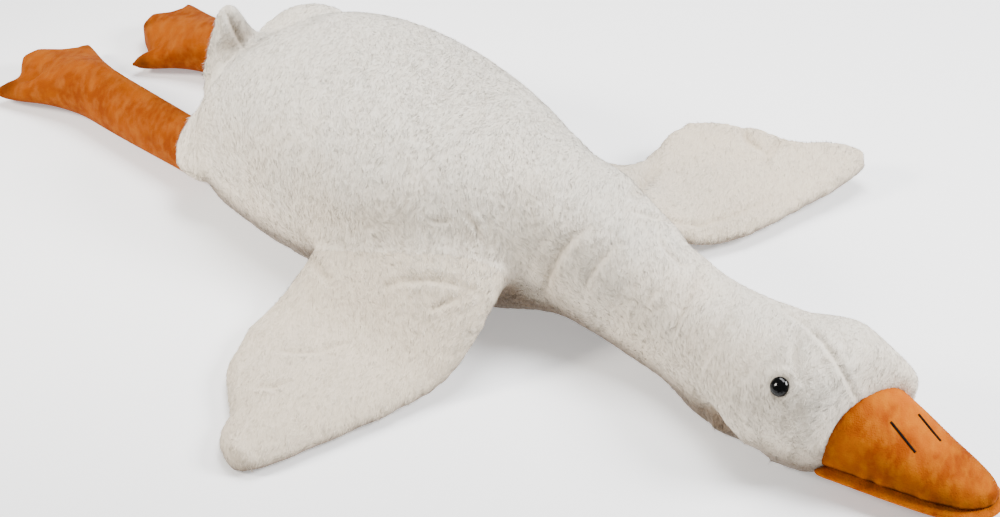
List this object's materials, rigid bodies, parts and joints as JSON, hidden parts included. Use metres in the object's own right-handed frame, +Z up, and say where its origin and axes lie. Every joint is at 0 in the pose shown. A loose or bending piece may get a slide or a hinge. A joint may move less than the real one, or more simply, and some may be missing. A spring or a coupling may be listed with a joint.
{
  "type": "plush goose",
  "caption": "Large soft plush goose lying on its belly with neck, wings and webbed legs stretched out, and a flat velour bill.",
  "frame": {"origin": "on the floor, under the middle of the belly, where the torso lies flat", "axes": "+Z up; the goose faces -Y, so its bill points to -Y, its feet to +Y and its left wing to +X"},
  "size_m": [0.8138, 1.3025, 0.1945],
  "materials": {
    "white_plush": "short soft pile, matt, off-white",
    "wing_plush": "short combed pile, matt, warm off-white",
    "orange_velour": "short velour nap, orange",
    "leg_velour": "short velour nap, orange",
    "eye_black": "polished black",
    "washer_white": "matt moulded, white",
    "thread_black": "thick embroidery thread, black"
  },
  "bodies": {
    "root": {"torso": "white_plush", "neck": "white_plush", "head": "white_plush", "tail": "white_plush", "wing_right": "wing_plush", "wing_left": "wing_plush", "bill_upper": "orange_velour", "bill_lower": "orange_velour", "leg_right": "leg_velour", "leg_left": "leg_velour", "eye_right": "eye_black", "eye_left": "eye_black", "eye_washer_right": "washer_white", "eye_washer_left": "washer_white", "nostril_stitch_right": "thread_black", "nostril_stitch_left": "thread_black"}
  },
  "joints": []
}
